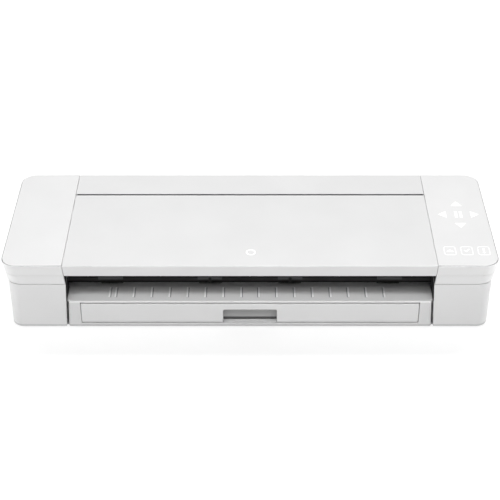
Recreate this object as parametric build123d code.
from build123d import *
import math
import os

# A desktop vinyl cutter: a hinged lid over a grit-roller feed and a twin-tool carriage.
# Frame: X to the right, Y to the back, Z up, millimetres. The origin is on the table under
# the middle of the casing. The lid is closed, the drawer is in, and the tool carriage is
# parked inside the right-hand end housing.

# ------------------------------------------------------------------ driving dimensions
WIDTH = 570.0
DEPTH = 195.0
HEIGHT = 100.0
WALL = 2.5
FOOT_HEIGHT = 2.0

# upper casing: deck, leaning rims and the seams between its pieces
RIM_BOTTOM = 65.0
DECK_BAND = 98.6
CORNER_RADIUS = 18.0
DECK_FILLET = 1.2
FRONT_LEAN = 13.0
SIDE_LEAN = 1.0
REAR_LEAN = 3.5
PARTING_Z = 81.5
PARTING_GAP = 0.4
LID_HALF = 213.5
CAP_INNER = 214.5
LID_RIM = 81.3
LID_REAR = 51.3
REAR_COVER_FRONT = 53.7

# lid hinge
HINGE_Y = 46.0
HINGE_Z = 94.8
HINGE_PIN_R = 2.0
HINGE_EAR_R = 4.9

# end housings below the rim
LOWER_TOP = 63.8
LOWER_HALF = 282.5
LOWER_FRONT = -83.5
LOWER_REAR = 93.0
LOWER_CORNER = 14.0
HOUSING_INNER = 214.1
HOUSING_DRAFT = 0.0556
LIP_INSET = 1.8
LIP_TOP = 69.0
LIP_CORNER = 15.5
BASE_TOP = 4.5
BAY_FRONT = -58.5
BAY_REAR = 48.0
BAY_FLOOR = 27.0

# front bezel, drawer and finger notch
BEZEL_HALF = 213.0
BEZEL_TOP = 39.5
BEZEL_THICK = 3.0
BEZEL_DEPTH = 15.5
DRAWER_HALF = 199.0
DRAWER_BOTTOM = 8.0
DRAWER_TOP = 34.8
DRAWER_REVEAL = 0.6
DRAWER_GAP_ABOVE = 2.1
NOTCH_HALF = 32.0
NOTCH_TOP = 26.8
NOTCH_BACK = -75.5
SCOOP_R = 59.5
SCOOP_DEPTH = 7.0
TRAY_HALF = 196.0
TRAY_REAR = 22.0
TRAY_WALL_TOP = 24.0
CRADLE_Y = (-62.0, -22.0)
CRADLE_Z = 16.5
CRADLE_R = 5.0
GUIDE_SHOE_Y = (-54.0, -30.0)
GUIDE_X = 170.0

# media path
PLATEN_HALF = 214.5
PLATEN_FRONT = -80.2
PLATEN_REAR = 90.0
PLATEN_LIP_FRONT = -82.3
PLATEN_LIP_HALF = 211.0
PLATEN_TOP = 38.5
PLATEN_THICK = 2.0
RIB_PITCH = 21.15
RIB_COUNT = 16
EXTRA_RIB_X = -165.7
RIB_FRONT = -75.5
RIB_REAR = -56.0
RIB_HEIGHT = 0.8
ROLLER_STATIONS = (-165.0, -47.5, 47.5, 165.0)
NOTCHED_STATIONS = ROLLER_STATIONS[1:3]
STATION_NOTCH = 3.6
FEED_Y = -45.0
GRIT_Z = 33.0
GRIT_SHAFT_R = 3.0
GRIT_SLEEVE_R = 6.0
PINCH_R = 5.0
PINCH_GAP = 0.4
PINCH_Z = GRIT_Z + GRIT_SLEEVE_R + PINCH_GAP + PINCH_R
PIVOT_Y = FEED_Y + 8.0
PIVOT_Z = 50.5
PIVOT_R = 1.5
BEAM_FRONT = -55.5
BEAM_REAR = -45.5
BEAM_BOTTOM = 46.0
BEAM_TOP = 52.5
RUNNING = 0.06

# pinch arms: a top plate with a lip that hooks over the front of the beam
ARM_HALF = 14.5
ARM_FRONT = -58.0
ARM_Z = (53.2, 55.2)
ARM_LIP = 1.8
ARM_LIP_BOTTOM = 51.6
CHEEK_X = 8.05
CHEEK_THICK = 2.5

# frame plates
LEFT_PLATE = (-222.0, -220.4)
RIGHT_PLATE = (275.0, 276.6)
BRACKET = (220.6, 222.6)

# feed drive
GEAR_MODULE = 1.0
GEAR_TEETH = 36
PINION_TEETH = 12
DRIVE_ANGLE = 60.0
GEAR_X = (-232.0, -226.0)
GEAR_DISTANCE = GEAR_MODULE * (GEAR_TEETH + PINION_TEETH) / 2
PINION_Y = FEED_Y + GEAR_DISTANCE * math.cos(math.radians(DRIVE_ANGLE))
PINION_Z = GRIT_Z + GEAR_DISTANCE * math.sin(math.radians(DRIVE_ANGLE))
MOTOR_R = 14.0

# carriage, rail and belt
CARRIAGE_X = (223.0, 272.0)
RAIL_Y = (6.0, 18.0)
RAIL_Z = (60.0, 74.0)
BELT_Y = 27.75
BELT_Z = (63.0, 69.0)
BELT_INNER_R = 5.25
BELT_THICK = 1.4
MOTOR_PULLEY_X = -250.0
IDLER_PULLEY_X = 266.0
TOOL_X = (235.3, 259.7)
TOOL_Y = -21.0
TOOL_BORE_R = (8.0, 10.0)
HOLDER_HALF = 11.9
HOLDER_Y = (-33.0, -8.4)
HOLDER_Z = (54.5, 71.5)
GUIDE_ROD_R = 1.5
GUIDE_ROD_Y = -11.2
GUIDE_ROD_SPREAD = 8.2
LEVER_PIVOT_R = 1.5
LEVER_PIVOT = (9.5, -31.2)

# touch panel
ICON_DEPTH = 0.4
ARROW_WIDE = 13.6
ARROW_TALL = 9.8
PAUSE_BAR = (3.2, 13.0)
PAUSE_SPREAD = 2.9
PAD_X = 250.5
PAD_Y = 8.4
PAD_STEP_X = 19.6
PAD_STEP_Y = 23.4
KEY_Y = -67.0
KEY_WIDE = 14.0
KEY_TALL = 17.0
KEY_LINE = 0.9

# power button
BUTTON_R = 6.0
BUTTON_Y = 62.0
BUTTON_Z = 34.0


# ------------------------------------------------------------------ small helpers
def box(x0, x1, y0, y1, z0, z1):
    """Block between two opposite corners."""
    centre = Pos((x0 + x1) / 2, (y0 + y1) / 2, (z0 + z1) / 2)
    return centre * Box(abs(x1 - x0), abs(y1 - y0), abs(z1 - z0))


def rod_x(x0, x1, y, z, radius):
    return Pos((x0 + x1) / 2, y, z) * Rot(0, 90, 0) * Cylinder(radius, abs(x1 - x0))


def rod_y(x, y0, y1, z, radius):
    return Pos(x, (y0 + y1) / 2, z) * Rot(90, 0, 0) * Cylinder(radius, abs(y1 - y0))


def rod_z(x, y, z0, z1, radius):
    return Pos(x, y, (z0 + z1) / 2) * Cylinder(radius, abs(z1 - z0))


def prism(points, direction, length):
    """Polygon through 3-D points, pushed along a direction."""
    outline = Polyline(*points, close=True)
    return extrude(make_face(outline), amount=length, dir=direction)


def prism_x(points, x0, x1):
    return prism([(x0, y, z) for y, z in points], (1, 0, 0), x1 - x0)


def prism_y(points, y0, y1):
    return prism([(x, y0, z) for x, z in points], (0, 1, 0), y1 - y0)


def prism_z(points, z0, z1):
    return prism([(x, y, z0) for x, y in points], (0, 0, 1), z1 - z0)


def upright_edges(solid, axis, last=True):
    """Vertical edges at one end of the solid along an axis."""
    groups = solid.edges().filter_by(Axis.Z).group_by(axis)
    return groups[-1] if last else groups[0]


def mirrored(solid):
    return mirror(solid, about=Plane.YZ)


# ------------------------------------------------------------------ upper casing
def plan_outline(z, inset):
    """Rounded plan of the upper casing at a height, shrunk by an inset."""
    lean = (DECK_BAND - z) / (DECK_BAND - RIM_BOTTOM)
    half_x = WIDTH / 2 - SIDE_LEAN * lean - inset
    front = -DEPTH / 2 + FRONT_LEAN * lean + inset
    rear = DEPTH / 2 - REAR_LEAN * lean - inset
    plan = RectangleRounded(2 * half_x, rear - front, CORNER_RADIUS - inset)
    return (Pos(0, (front + rear) / 2, z) * plan).face()


def casing_block(inset, top):
    """Leaning rims up to the deck band, then an upright band up to the top."""
    band = min(DECK_BAND, top)
    leaning = loft([plan_outline(RIM_BOTTOM, inset), plan_outline(band, inset)])
    if band == top:
        return leaning
    return leaning + extrude(plan_outline(band, inset), amount=top - band)


def casing_solid():
    block = casing_block(0, HEIGHT)
    return fillet(block.edges().group_by(Axis.Z)[-1], DECK_FILLET)


CASING = casing_solid()
SHELL = CASING - casing_block(WALL, HEIGHT - WALL)


def casing_span(solid, x0, x1, z0, z1, y0=-DEPTH, y1=DEPTH):
    return solid & box(x0, x1, y0, y1, z0, z1)


def make_lid():
    skirt_rear = 36.0
    underside = HEIGHT - WALL
    body = casing_span(SHELL, -LID_HALF, LID_HALF, LID_RIM, HEIGHT + 1, -DEPTH, LID_REAR)
    for side in (-1, 1):
        inner = side * (LID_HALF - WALL)
        body += casing_span(CASING, side * LID_HALF, inner, LID_RIM, HEIGHT - 1, -DEPTH, skirt_rear)
    passage = carriage_passage(RIM_BOTTOM)
    body -= passage + mirrored(passage)
    rear_edges = body.edges().filter_by(Axis.X).filter_by_position(Axis.Y, LID_REAR - 0.1, LID_REAR + 0.1)
    body = fillet(rear_edges.group_by(Axis.Z)[-1], DECK_FILLET)
    for side in (-1, 1):
        body += rod_x(side * 203, side * 209, HINGE_Y, HINGE_Z, HINGE_EAR_R)
        body += box(side * 203, side * 209, HINGE_Y - HINGE_EAR_R, HINGE_Y + 4.5, HINGE_Z, underside + 0.5)
    for side in (-1, 1):
        body -= rod_x(side * 202, side * 210, HINGE_Y, HINGE_Z, HINGE_PIN_R + RUNNING)
    return body


def make_lid_hinge_pins():
    pins = []
    for side in (-1, 1):
        pin = rod_x(side * 201.5, side * (CAP_INNER + WALL), HINGE_Y, HINGE_Z, HINGE_PIN_R)
        head = rod_x(side * 200.5, side * 202, HINGE_Y, HINGE_Z, HINGE_PIN_R + 0.6)
        pins.append(pin + head)
    return Compound(children=pins)


def carriage_passage(z0):
    """Space through which the rail, belt and carriage enter an end housing."""
    low = box(CAP_INNER - 5, CAP_INNER + 5, BAY_FRONT, BAY_REAR, z0, 88)
    return low + box(CAP_INNER - 5, CAP_INNER + 5, BAY_FRONT, 38, z0, 94)


def right_top_cap_blank():
    z0 = PARTING_Z + PARTING_GAP / 2
    body = casing_span(SHELL, CAP_INNER, WIDTH, z0, HEIGHT + 1)
    body += casing_span(CASING, CAP_INNER, CAP_INNER + WALL, z0, HEIGHT - 1)
    body -= carriage_passage(RIM_BOTTOM - 1)
    return body - rod_x(CAP_INNER - 1, CAP_INNER + 4, HINGE_Y, HINGE_Z, HINGE_PIN_R)


def right_cap_skirt():
    z1 = PARTING_Z - PARTING_GAP / 2
    body = casing_span(SHELL, CAP_INNER, WIDTH, RIM_BOTTOM, z1)
    body += casing_span(CASING, CAP_INNER, CAP_INNER + WALL, RIM_BOTTOM, z1)
    return body - carriage_passage(RIM_BOTTOM - 1)


def make_rear_top_cover():
    half = LID_HALF + 0.4
    body = casing_span(SHELL, -half, half, RIM_BOTTOM, HEIGHT + 1, REAR_COVER_FRONT)
    wall_rear = REAR_COVER_FRONT + WALL
    return body + casing_span(CASING, -half, half, 84, HEIGHT - 1, REAR_COVER_FRONT, wall_rear)


# ------------------------------------------------------------------ touch panel
def icon_prism(points):
    return prism_z(points, HEIGHT - ICON_DEPTH, HEIGHT)


def arrow(x, y, turn):
    """Triangle that points along +Y before it is turned."""
    corners = ((-ARROW_WIDE / 2, -ARROW_TALL / 2), (ARROW_WIDE / 2, -ARROW_TALL / 2), (0, ARROW_TALL / 2))
    cosine = math.cos(math.radians(turn))
    sine = math.sin(math.radians(turn))
    return icon_prism([(x + px * cosine - py * sine, y + px * sine + py * cosine) for px, py in corners])


def key_frame(x):
    """Outline of one rounded key."""
    outer = RectangleRounded(KEY_WIDE, KEY_TALL, 3.0)
    inner = RectangleRounded(KEY_WIDE - 2 * KEY_LINE, KEY_TALL - 2 * KEY_LINE, 2.0)
    ring = extrude(outer - inner, amount=ICON_DEPTH)
    return Pos(x, KEY_Y, HEIGHT - ICON_DEPTH) * ring


def key_glyphs():
    left, middle, right = (PAD_X - PAD_STEP_X, PAD_X, PAD_X + PAD_STEP_X)
    load = icon_prism([
        (left - 4, KEY_Y - 2), (left + 4, KEY_Y - 2), (left + 4, KEY_Y - 0.8), (left, KEY_Y + 2.6),
        (left - 4, KEY_Y - 0.8),
    ])
    tick = icon_prism([
        (middle - 3.6, KEY_Y + 0.6), (middle - 0.8, KEY_Y - 2.6), (middle + 3.8, KEY_Y + 3.2),
        (middle + 2.6, KEY_Y + 4.0), (middle - 0.8, KEY_Y - 0.2), (middle - 2.6, KEY_Y + 1.8),
    ])
    dot = Pos(right, KEY_Y - 3.4, HEIGHT - ICON_DEPTH / 2) * Cylinder(1.5, ICON_DEPTH)
    bar = box(right - 1.1, right + 1.1, KEY_Y - 1.0, KEY_Y + 4.8, HEIGHT - ICON_DEPTH, HEIGHT)
    return [load, tick, dot, bar]


def icon_solids():
    solids = [
        arrow(PAD_X, PAD_Y + PAD_STEP_Y, 0),
        arrow(PAD_X, PAD_Y - PAD_STEP_Y, 180),
        arrow(PAD_X - PAD_STEP_X, PAD_Y, 90),
        arrow(PAD_X + PAD_STEP_X, PAD_Y, -90),
    ]
    bar_wide, bar_tall = PAUSE_BAR
    for side in (-1, 1):
        bar = Box(bar_wide, bar_tall, ICON_DEPTH)
        solids.append(Pos(PAD_X + side * PAUSE_SPREAD, PAD_Y, HEIGHT - ICON_DEPTH / 2) * bar)
    for column in (-1, 0, 1):
        solids.append(key_frame(PAD_X + column * PAD_STEP_X))
    return solids + key_glyphs()


def make_touch_panel_board():
    board = box(224, 277, -76, 42, 94.6, 96.2)
    for row_y in (-67, -15, 8.4, 31.8):
        board += box(245, 256, row_y - 4, row_y + 4, 96.1, 97.0)
    return board


# ------------------------------------------------------------------ end housings and base
def lower_block(inset, z0, z1, radius):
    """Right-hand lower housing as a solid, shrunk by an inset; its inner side has draft."""
    inner_low = HOUSING_INNER + (LOWER_TOP - z0) * HOUSING_DRAFT + inset
    inner_high = HOUSING_INNER + (LOWER_TOP - z1) * HOUSING_DRAFT + inset
    outer = LOWER_HALF - inset
    section = [(inner_low, z0), (outer, z0), (outer, z1), (inner_high, z1)]
    block = prism_y(section, LOWER_FRONT + inset, LOWER_REAR - inset)
    return fillet(upright_edges(block, Axis.X), radius)


def right_lower_blank():
    body = lower_block(0, FOOT_HEIGHT, LOWER_TOP, LOWER_CORNER)
    body -= lower_block(WALL, FOOT_HEIGHT - 1, LOWER_TOP + 1, LOWER_CORNER - WALL)
    lip = lower_block(LIP_INSET, LOWER_TOP - 4, LIP_TOP, LIP_CORNER)
    lip -= lower_block(LIP_INSET + 2.2, LOWER_TOP - 5, LIP_TOP + 1, LIP_CORNER - 2.2)
    body += lip - box(200, 224, -100, 100, 50, 80)
    body -= box(200, 224, BAY_FRONT, BAY_REAR, BAY_FLOOR, LOWER_TOP + 1)
    return body - box(200, 221.5, PLATEN_FRONT, 90.4, 0, BASE_TOP + 0.2)


def make_left_lower_cover():
    return mirrored(right_lower_blank())


def make_right_lower_cover():
    body = right_lower_blank()
    body -= box(231.7, 244.3, 88, 95, 11.3, 22.9)
    body -= box(251.7, 264.3, 88, 95, 11.3, 22.9)
    return body - rod_x(279, 284, BUTTON_Y, BUTTON_Z, BUTTON_R + 0.3)


def foot_places():
    return [(side * 262.0, y) for side in (-1, 1) for y in (-62.0, 74.0)]


def make_base_tray():
    tray = box(-279.5, 279.5, PLATEN_FRONT, 90.2, FOOT_HEIGHT, BASE_TOP)
    return fillet(tray.edges().filter_by(Axis.Z), LOWER_CORNER - WALL - 0.5)


def make_rubber_feet():
    feet = []
    for x, y in foot_places():
        foot = rod_z(x, y, 0, FOOT_HEIGHT, 9)
        feet.append(chamfer(foot.edges().group_by(Axis.Z)[0], 0.6))
    return Compound(children=feet)


def make_rear_cover():
    half = LID_HALF + 0.5
    panel = box(-half, half, 90.5, LOWER_REAR, FOOT_HEIGHT, PLATEN_TOP - PLATEN_THICK - 0.5)
    for x in range(-180, 181, 40):
        panel -= box(x - 12, x + 12, 90, LOWER_REAR + 1, 12, 14)
        panel -= box(x - 12, x + 12, 90, LOWER_REAR + 1, 18, 20)
    return panel


# ------------------------------------------------------------------ front bezel and drawer
def bezel_edge(z):
    return BEZEL_HALF + (BEZEL_TOP - z) * HOUSING_DRAFT


def bezel_block(inset, y0, z0, z1):
    half_low = bezel_edge(z0) - inset
    half_high = bezel_edge(z1) - inset
    points = [(-half_low, z0), (half_low, z0), (half_high, z1), (-half_high, z1)]
    return prism_y(points, y0, LOWER_FRONT + BEZEL_DEPTH)


def make_front_bezel():
    block = bezel_block(0, LOWER_FRONT, FOOT_HEIGHT, BEZEL_TOP)
    front_edges = block.edges().filter_by_position(Axis.Y, LOWER_FRONT - 0.1, LOWER_FRONT + 0.1)
    block = fillet(front_edges.group_by(Axis.X)[0] + front_edges.group_by(Axis.X)[-1], 2.5)
    block -= bezel_block(WALL, LOWER_FRONT + BEZEL_THICK, FOOT_HEIGHT - 1, BEZEL_TOP + 1)
    platen_bottom = PLATEN_TOP - PLATEN_THICK
    block -= box(-WIDTH, WIDTH, PLATEN_FRONT - 0.2, 0, 0, BASE_TOP + 0.1)
    block -= box(-WIDTH, WIDTH, PLATEN_FRONT - 0.2, 0, platen_bottom - 0.1, HEIGHT)
    rebate_half = PLATEN_LIP_HALF + 0.2
    block -= box(-rebate_half, rebate_half, PLATEN_LIP_FRONT - 0.1, 0, platen_bottom - 0.1, HEIGHT)
    opening_half = DRAWER_HALF + DRAWER_REVEAL
    block -= box(-opening_half, opening_half, -90, -79, DRAWER_BOTTOM - 1.5, DRAWER_TOP + DRAWER_GAP_ABOVE)
    ledge = box(-40, 40, LOWER_FRONT + 1, -81.0, BASE_TOP + 0.1, DRAWER_BOTTOM - 1.5)
    ledge += box(-40, 40, -81.5, NOTCH_BACK, BASE_TOP + 0.1, DRAWER_BOTTOM - 1.5)
    scoop_centre = LOWER_FRONT + SCOOP_DEPTH - SCOOP_R
    scoop = rod_z(0, scoop_centre, DRAWER_BOTTOM - 2.3, DRAWER_BOTTOM, SCOOP_R)
    return block + ledge - scoop


def roll_guide_plate(x):
    """Upright end plate on a flat shoe, between the two cradle rollers."""
    y0, y1 = GUIDE_SHOE_Y
    plate = box(x - 1.2, x + 1.2, y0, y1, DRAWER_BOTTOM + 2.1, 26.4)
    plate = fillet(plate.edges().filter_by(Axis.X).group_by(Axis.Z)[-1], 6)
    return plate + box(x - 1, x + 12, y0, y1, DRAWER_BOTTOM + 2.1, DRAWER_BOTTOM + 4.3)


def make_drawer():
    floor_top = DRAWER_BOTTOM + 1.8
    panel = box(-DRAWER_HALF, DRAWER_HALF, LOWER_FRONT, -80.0, DRAWER_BOTTOM, DRAWER_TOP)
    panel = fillet(panel.edges().filter_by(Axis.Y), 1.2)
    panel = chamfer(panel.faces().sort_by(Axis.Y)[0].edges(), 0.4)
    panel += box(-NOTCH_HALF - 2, NOTCH_HALF + 2, -80.5, NOTCH_BACK + 2, DRAWER_BOTTOM, NOTCH_TOP + 2)
    notch = box(-NOTCH_HALF, NOTCH_HALF, -90, NOTCH_BACK, 0, NOTCH_TOP)
    notch = fillet(notch.edges().filter_by(Axis.Y).group_by(Axis.Z)[-1], 3)
    body = panel - notch
    tray = box(-TRAY_HALF, TRAY_HALF, -80.5, TRAY_REAR, DRAWER_BOTTOM, TRAY_WALL_TOP)
    tray -= box(-TRAY_HALF + 2, TRAY_HALF - 2, -81, TRAY_REAR - 2, floor_top, TRAY_WALL_TOP + 1)
    body += tray - box(-NOTCH_HALF, NOTCH_HALF, -90, NOTCH_BACK, 0, 30)
    for side in (-1, 1):
        for y in CRADLE_Y:
            body += box(side * 188, side * 192, y - 4, y + 4, DRAWER_BOTTOM + 1, 20)
            body -= rod_x(side * 187, side * 193, y, CRADLE_Z, PIVOT_R + RUNNING)
    y0, y1 = GUIDE_SHOE_Y
    return body + box(-181, -178.5, y0, y1, floor_top - 0.5, 26.4)


def cradle_roller(y):
    core = rod_x(-191.9, 191.9, y, CRADLE_Z, PIVOT_R)
    return core + rod_x(-187, 187, y, CRADLE_Z, CRADLE_R)


def make_drawer_runners():
    rails = []
    for side in (-1, 1):
        ledge = box(side * 188, side * 200.5, -78, 60, BASE_TOP, DRAWER_BOTTOM - 0.3)
        rails.append(ledge + box(side * 197.2, side * 200.5, -78, 60, BASE_TOP, 16))
    return Compound(children=rails)


# ------------------------------------------------------------------ media path
def make_platen():
    bottom = PLATEN_TOP - PLATEN_THICK
    plate = box(-PLATEN_HALF, PLATEN_HALF, PLATEN_FRONT, PLATEN_REAR, bottom, PLATEN_TOP)
    plate += box(-PLATEN_LIP_HALF, PLATEN_LIP_HALF, PLATEN_LIP_FRONT, PLATEN_FRONT, bottom, PLATEN_TOP)
    for station in ROLLER_STATIONS:
        plate -= box(station - 13.5, station + 13.5, FEED_Y - 5.4, FEED_Y + 5.4, 30, 45)
    rib_places = [RIB_PITCH * (i - (RIB_COUNT - 1) / 2) for i in range(RIB_COUNT)]
    for x in rib_places + [EXTRA_RIB_X]:
        plate += box(x - 0.6, x + 0.6, RIB_FRONT, RIB_REAR, PLATEN_TOP - 0.2, PLATEN_TOP + RIB_HEIGHT)
    return plate


def make_cutting_strip():
    return box(-212, 212, TOOL_Y - 4, TOOL_Y + 4, PLATEN_TOP, PLATEN_TOP + 0.5)


def make_grit_shaft():
    shaft = rod_x(-238, 226, FEED_Y, GRIT_Z, GRIT_SHAFT_R)
    ends = shaft.edges().filter_by(GeomType.CIRCLE)
    return chamfer(ends, 0.4)


def make_grit_sleeves():
    sleeves = []
    for station in ROLLER_STATIONS:
        sleeve = rod_x(station - 12, station + 12, FEED_Y, GRIT_Z, GRIT_SLEEVE_R)
        sleeves.append(sleeve - rod_x(station - 13, station + 13, FEED_Y, GRIT_Z, GRIT_SHAFT_R))
    return Compound(children=sleeves)


def make_shaft_bushes():
    bushes = []
    for x0, x1 in (LEFT_PLATE, BRACKET):
        bush = rod_x(x0 - 1.5, x1 + 1.5, FEED_Y, GRIT_Z, 5)
        bushes.append(bush - rod_x(x0 - 2, x1 + 2, FEED_Y, GRIT_Z, GRIT_SHAFT_R + RUNNING))
    return Compound(children=bushes)


def station_notch(station, y0, y1, z1):
    """Upright slot in the middle of a roller station."""
    return box(station - STATION_NOTCH / 2, station + STATION_NOTCH / 2, y0, y1, BEAM_BOTTOM - 1, z1)


def make_roller_beam():
    beam = box(LEFT_PLATE[1], BRACKET[0], BEAM_FRONT, BEAM_REAR, BEAM_BOTTOM, BEAM_TOP)
    for station in ROLLER_STATIONS:
        beam -= box(station - 10.5, station + 10.5, BEAM_FRONT + 1.5, BEAM_REAR + 1, 40, 60)
    for station in NOTCHED_STATIONS:
        beam -= station_notch(station, BEAM_FRONT - 1, BEAM_REAR + 1, BEAM_TOP - 1)
    for x in (-212.0, -106.0, 0.0, 106.0, 212.0):
        beam += box(x - 2, x + 2, BEAM_REAR - 0.5, PIVOT_Y + 2.5, BEAM_BOTTOM + 1, PIVOT_Z + 3)
        beam -= rod_x(x - 3, x + 3, PIVOT_Y, PIVOT_Z, PIVOT_R)
    return beam


def make_pinch_pivot_rod():
    return rod_x(LEFT_PLATE[1], BRACKET[0], PIVOT_Y, PIVOT_Z, PIVOT_R)


def pinch_arm(station):
    """Sprung arm: a flat top, a hub on the pivot rod and two cheeks that carry the roller."""
    z0, z1 = ARM_Z
    arm = box(station - ARM_HALF, station + ARM_HALF, ARM_FRONT, PIVOT_Y - 2, z0, z1)
    arm += box(station - ARM_HALF, station + ARM_HALF, ARM_FRONT, ARM_FRONT + ARM_LIP, ARM_LIP_BOTTOM, z1)
    arm = fillet(arm.edges().filter_by(Axis.X).group_by(Axis.Y)[0], 0.6)
    arm += rod_x(station - 9.3, station + 9.3, PIVOT_Y, PIVOT_Z, 3)
    cheek = [
        (FEED_Y - 3, PINCH_Z - 1.8), (FEED_Y + 2, PINCH_Z - 1.8), (PIVOT_Y + 2.6, PIVOT_Z - 1.5),
        (PIVOT_Y + 2.6, z1), (FEED_Y - 4, z1),
    ]
    for side in (-1, 1):
        x = station + side * CHEEK_X
        arm += prism_x(cheek, x - CHEEK_THICK / 2, x + CHEEK_THICK / 2)
    arm -= box(station - 6.8, station + 6.8, BEAM_FRONT, FEED_Y + 4.8, 30, z0)
    if station in NOTCHED_STATIONS:
        arm -= station_notch(station, ARM_FRONT - 1, ARM_FRONT + ARM_LIP, z1 + 1)
    arm -= rod_x(station - 10, station + 10, PIVOT_Y, PIVOT_Z, PIVOT_R + RUNNING)
    return arm - rod_x(station - 10, station + 10, FEED_Y, PINCH_Z, 1.25 + RUNNING)


def pinch_roller(station):
    tyre = rod_x(station - 6, station + 6, FEED_Y, PINCH_Z, PINCH_R)
    tyre = chamfer(tyre.edges().filter_by(GeomType.CIRCLE), 0.5)
    return tyre + rod_x(station - 9.3, station + 9.3, FEED_Y, PINCH_Z, 1.25)


# ------------------------------------------------------------------ frame plates
def make_left_side_plate():
    x0, x1 = LEFT_PLATE
    plate = box(x0, x1, -70, 60, BASE_TOP, 88)
    plate -= box(x0 - 1, x1 + 1, 19, 37, 59.5, 72)
    return plate - rod_x(x0 - 1, x1 + 1, FEED_Y, GRIT_Z, 5)


def make_right_side_plate():
    x0, x1 = RIGHT_PLATE
    plate = box(x0, x1, -50, 42, BASE_TOP, 86)
    return fillet(plate.edges().filter_by(Axis.X).group_by(Axis.Z)[-1], 8)


def make_bearing_bracket():
    x0, x1 = BRACKET
    plate = box(x0, x1, -70, PIVOT_Y + 3, BASE_TOP, 60)
    plate += box(x0, x1 + 12, -70, -52, BASE_TOP, BASE_TOP + 2)
    return plate - rod_x(x0 - 1, x1 + 1, FEED_Y, GRIT_Z, 5)


# ------------------------------------------------------------------ feed drive
def spur_gear(teeth, x_span, y, z, tooth_angle):
    """Gear blank with straight-sided teeth; one tooth is centred on tooth_angle."""
    pitch_r = GEAR_MODULE * teeth / 2
    pitch = 2 * math.pi / teeth
    points = []
    for index in range(teeth):
        centre = math.radians(tooth_angle) + index * pitch
        for radius, offset in (
            (pitch_r - 1.25 * GEAR_MODULE, -0.27),
            (pitch_r + 0.8 * GEAR_MODULE, -0.12),
            (pitch_r + 0.8 * GEAR_MODULE, 0.12),
            (pitch_r - 1.25 * GEAR_MODULE, 0.27),
        ):
            angle = centre + offset * pitch
            points.append((y + radius * math.cos(angle), z + radius * math.sin(angle)))
    return prism_x(points, x_span[0], x_span[1])


def make_feed_gear():
    gap_angle = DRIVE_ANGLE + 180.0 / GEAR_TEETH
    gear = spur_gear(GEAR_TEETH, GEAR_X, FEED_Y, GRIT_Z, gap_angle)
    gear += rod_x(GEAR_X[0] - 4, GEAR_X[0] + 1, FEED_Y, GRIT_Z, 6)
    return gear - rod_x(GEAR_X[0] - 5, GEAR_X[1] + 1, FEED_Y, GRIT_Z, GRIT_SHAFT_R)


def make_motor_pinion():
    span = (GEAR_X[0] - 0.5, GEAR_X[1] + 0.5)
    gear = spur_gear(PINION_TEETH, span, PINION_Y, PINION_Z, DRIVE_ANGLE + 180)
    return gear + rod_x(-246, -224, PINION_Y, PINION_Z, 2)


def make_feed_motor():
    body = rod_x(-270, -238, PINION_Y, PINION_Z, MOTOR_R)
    body = chamfer(body.edges().filter_by(GeomType.CIRCLE), 0.8)
    flange = [(-22, 60), (-14, 44), (14, 44), (20, 56), (20, 68), (-22, 68)]
    body += prism_x([(PINION_Y + y, z) for y, z in flange], -238.5, -236.9)
    for y, z in ((-18.0, 64.0), (16.0, 62.0)):
        body += rod_x(-237, LEFT_PLATE[0], PINION_Y + y, z, 2)
    return body - rod_x(-247, -236, PINION_Y, PINION_Z, 2 + RUNNING)


# ------------------------------------------------------------------ carriage drive
def belt_outline(radius):
    gap = IDLER_PULLEY_X - MOTOR_PULLEY_X
    return SlotCenterToCenter(gap, 2 * radius)


def make_drive_belt():
    ring = belt_outline(BELT_INNER_R + BELT_THICK) - belt_outline(BELT_INNER_R)
    belt = extrude(ring, amount=BELT_Z[1] - BELT_Z[0])
    return Pos((MOTOR_PULLEY_X + IDLER_PULLEY_X) / 2, BELT_Y, BELT_Z[0]) * belt


def belt_pulley(x):
    wheel = rod_z(x, BELT_Y, 61, 71, BELT_INNER_R - 0.05)
    for z0, z1 in ((61, 62.6), (69.4, 71)):
        wheel += rod_z(x, BELT_Y, z0, z1, BELT_INNER_R + 2.4)
    return wheel


def make_motor_pulley():
    return belt_pulley(MOTOR_PULLEY_X) + rod_z(MOTOR_PULLEY_X, BELT_Y, 48, 72.5, 2)


def make_carriage_motor():
    body = rod_z(MOTOR_PULLEY_X, BELT_Y, 24, 56, MOTOR_R)
    body = chamfer(body.edges().filter_by(GeomType.CIRCLE), 0.8)
    body += box(-266, LEFT_PLATE[0], BELT_Y - 15, BELT_Y + 15, 56, 58)
    return body - rod_z(MOTOR_PULLEY_X, BELT_Y, 47, 60, 2 + RUNNING)


def make_idler_pulley():
    return belt_pulley(IDLER_PULLEY_X) - rod_z(IDLER_PULLEY_X, BELT_Y, 60, 72, 1.5 + RUNNING)


def make_idler_bracket():
    arm = box(256, RIGHT_PLATE[0], BELT_Y - 7, BELT_Y + 7, 56.5, 58.5)
    arm += rod_z(IDLER_PULLEY_X, BELT_Y, 58, 72.4, 1.5)
    return arm + rod_z(IDLER_PULLEY_X, BELT_Y, 58.4, 60.8, 3)


def make_carriage_rail():
    (y0, y1), (z0, z1) = RAIL_Y, RAIL_Z
    groove = 2.5
    middle_z = (z0 + z1) / 2
    points = [
        (y0, z0), (y1, z0), (y1, middle_z - groove), (y1 - groove, middle_z), (y1, middle_z + groove),
        (y1, z1), (y0, z1), (y0, middle_z + groove), (y0 + groove, middle_z), (y0, middle_z - groove),
    ]
    return prism_x(points, LEFT_PLATE[1], RIGHT_PLATE[0])


def guide_rod_places():
    return [(x + side * GUIDE_ROD_SPREAD, GUIDE_ROD_Y) for x in TOOL_X for side in (-1, 1)]


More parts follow.
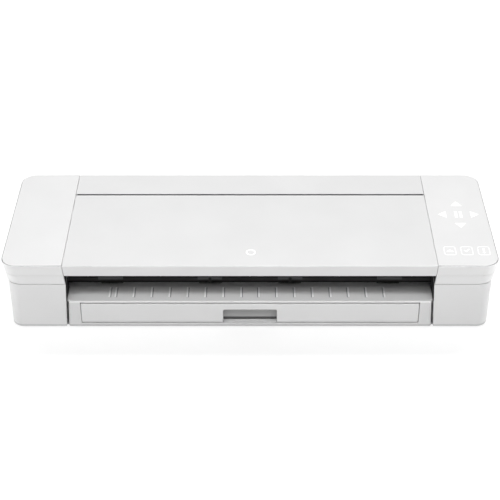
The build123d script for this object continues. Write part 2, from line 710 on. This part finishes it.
def make_carriage_body():
    x0, x1 = CARRIAGE_X
    body = box(x0, x1, -8, RAIL_Y[0] - 0.5, 46, 88)
    body += box(x0, x1, RAIL_Y[0] - 1, 25, RAIL_Z[1] + 0.5, 80)
    body += box(x0, x1, RAIL_Y[0] - 1, 19, 54.5, RAIL_Z[0] - 0.5)
    body += box(237, 257, RAIL_Y[1] + 0.5, 25, 61, RAIL_Z[1] + 1)
    belt_front = BELT_Y - BELT_INNER_R - BELT_THICK
    body -= box(236, 258, belt_front - 0.4, belt_front + BELT_THICK + 0.4, 60, BELT_Z[1] + 0.5)
    for z0, z1 in ((46, 50), (84, 88)):
        flange = box(x0, x1, -15, -7.5, z0, z1)
        for tool_x in TOOL_X:
            flange -= rod_z(tool_x, TOOL_Y, z0 - 1, z1 + 1, TOOL_BORE_R[1] + 0.6)
        body += flange
    for x, y in guide_rod_places():
        body -= rod_z(x, y, 45, 89, GUIDE_ROD_R)
    return body


def make_tool_guide_rods():
    return Compound(children=[rod_z(x, y, 46, 88, GUIDE_ROD_R) for x, y in guide_rod_places()])


def tool_holder(tool_x, bore_r):
    y0, y1 = HOLDER_Y
    z0, z1 = HOLDER_Z
    block = box(tool_x - HOLDER_HALF, tool_x + HOLDER_HALF, y0, y1, z0, z1)
    block = fillet(upright_edges(block, Axis.Y, last=False), 3)
    block -= rod_z(tool_x, TOOL_Y, z0 - 1, z1 + 1, bore_r)
    for side in (-1, 1):
        block -= rod_z(tool_x + side * GUIDE_ROD_SPREAD, GUIDE_ROD_Y, z0 - 1, z1 + 1, GUIDE_ROD_R + RUNNING)
    stud = rod_z(tool_x + LEVER_PIVOT[0], LEVER_PIVOT[1], z1 - 4, z1 + 5, LEVER_PIVOT_R)
    return block + stud


def tool_lever(tool_x):
    """Clamp lever that lies across the holder's front edge and swings out about its stud."""
    z0 = HOLDER_Z[1] + 0.4
    pivot_x = tool_x + LEVER_PIVOT[0]
    pivot_y = LEVER_PIVOT[1]
    lever = rod_z(pivot_x, pivot_y, z0, z0 + 4, 3)
    lever += box(pivot_x - 19, pivot_x, pivot_y - 4.6, pivot_y - 1.2, z0, z0 + 4)
    return lever - rod_z(pivot_x, pivot_y, z0 - 1, z0 + 5, LEVER_PIVOT_R + RUNNING)


def make_blade_housing():
    x = TOOL_X[0]
    bore = TOOL_BORE_R[0]
    body = rod_z(x, TOOL_Y, 51, 74, bore - 0.05)
    body += rod_z(x, TOOL_Y, 73, 86, bore + 1.5)
    body += Pos(x, TOOL_Y, 48) * Cone(3.5, bore - 1.5, 6)
    return body + Pos(x, TOOL_Y, 44) * Cone(0.4, 3.0, 2.4)


# ------------------------------------------------------------------ rear, boards and sockets
def make_cross_cutter_rail():
    rail = box(-LID_HALF, LID_HALF, 84, 88, 55, 60)
    return rail - box(-LID_HALF - 1, LID_HALF + 1, 83, 85, 56.8, 58.2)


def make_cross_cutter():
    body = box(190, 206, 79.2, 83.6, 46, 62)
    body += box(190, 206, 79.2, 91, 60.4, 62.8)
    body += box(192, 204, 88.4, 91, 51, 62)
    blade = rod_y(198, 80.6, 81.6, 48, 5.5)
    return body + blade


def make_main_board():
    board = box(222.5, 273, -28, 84, 10, 11.6)
    chips = ((230, 246, 0, 16, 1.4), (250, 262, 24, 34, 1.2))
    tall_parts = ((228, 240, 40, 52, 8), (252, 270, -20, -14, 9))
    for x0, x1, y0, y1, height in chips + tall_parts:
        board += box(x0, x1, y0, y1, 11.5, 11.5 + height)
    for x, y in ((227, -24), (268, -24), (227, 66), (268, 66)):
        board += rod_z(x, y, BASE_TOP, 10.2, 2.5)
    return board


def make_usb_socket():
    shell = box(232, 244, 76, LOWER_REAR - 0.1, 11.6, 22.6)
    shell -= box(233.8, 242.2, 80, LOWER_REAR, 13.3, 20.9)
    return shell + box(235.2, 240.8, 79, LOWER_REAR - 2, 15.5, 18.7)


def make_power_inlet():
    body = box(252, 264, 76, LOWER_REAR - 0.1, 11.6, 22.6)
    body -= rod_y(258, 82, LOWER_REAR, 17.1, 3.2)
    return body + rod_y(258, 80, LOWER_REAR - 2, 17.1, 1.0)


def make_power_button():
    cap = rod_x(278, 283.2, BUTTON_Y, BUTTON_Z, BUTTON_R)
    cap = fillet(cap.edges().filter_by(GeomType.CIRCLE).sort_by(Axis.X)[-1], 0.6)
    return cap + rod_x(276.9, 278.6, BUTTON_Y, BUTTON_Z, BUTTON_R + 1.4)


# ------------------------------------------------------------------ all sub-parts by name
def build_parts():
    icons = icon_solids()
    right_cap = right_top_cap_blank()
    left_cap = mirrored(right_cap)
    for icon in icons:
        right_cap -= icon
    parts = {
        "base_tray": make_base_tray(),
        "rubber_feet": make_rubber_feet(),
        "left_lower_cover": make_left_lower_cover(),
        "right_lower_cover": make_right_lower_cover(),
        "left_cap_skirt": mirrored(right_cap_skirt()),
        "right_cap_skirt": right_cap_skirt(),
        "left_top_cap": left_cap,
        "right_top_cap": right_cap,
        "rear_top_cover": make_rear_top_cover(),
        "rear_cover": make_rear_cover(),
        "front_bezel": make_front_bezel(),
        "platen": make_platen(),
        "cutting_strip": make_cutting_strip(),
        "left_side_plate": make_left_side_plate(),
        "right_side_plate": make_right_side_plate(),
        "bearing_bracket": make_bearing_bracket(),
        "shaft_bushes": make_shaft_bushes(),
        "carriage_rail": make_carriage_rail(),
        "roller_beam": make_roller_beam(),
        "pinch_pivot_rod": make_pinch_pivot_rod(),
        "feed_motor": make_feed_motor(),
        "carriage_motor": make_carriage_motor(),
        "idler_bracket": make_idler_bracket(),
        "drive_belt": make_drive_belt(),
        "main_board": make_main_board(),
        "touch_panel_board": make_touch_panel_board(),
        "touch_icons": Compound(children=icons),
        "usb_socket": make_usb_socket(),
        "power_inlet": make_power_inlet(),
        "cross_cutter_rail": make_cross_cutter_rail(),
        "drawer_runners": make_drawer_runners(),
        "lid_hinge_pins": make_lid_hinge_pins(),
        "lid": make_lid(),
        "carriage_body": make_carriage_body(),
        "tool_guide_rods": make_tool_guide_rods(),
        "tool_1_holder": tool_holder(TOOL_X[0], TOOL_BORE_R[0]),
        "tool_2_holder": tool_holder(TOOL_X[1], TOOL_BORE_R[1]),
        "tool_1_lever": tool_lever(TOOL_X[0]),
        "tool_2_lever": tool_lever(TOOL_X[1]),
        "blade_housing": make_blade_housing(),
        "grit_shaft": make_grit_shaft(),
        "grit_sleeves": make_grit_sleeves(),
        "feed_gear": make_feed_gear(),
        "motor_pinion": make_motor_pinion(),
        "motor_pulley": make_motor_pulley(),
        "idler_pulley": make_idler_pulley(),
        "drawer": make_drawer(),
        "front_cradle_roller": cradle_roller(CRADLE_Y[0]),
        "rear_cradle_roller": cradle_roller(CRADLE_Y[1]),
        "roll_guide": roll_guide_plate(GUIDE_X),
        "cross_cutter": make_cross_cutter(),
        "power_button": make_power_button(),
    }
    for number, station in enumerate(ROLLER_STATIONS, start=1):
        parts[f"pinch_arm_{number}"] = pinch_arm(station)
        parts[f"pinch_roller_{number}"] = pinch_roller(station)
    return parts


os.makedirs("parts", exist_ok=True)
for node, shape in build_parts().items():
    export_step(shape, f"parts/{node}.step")
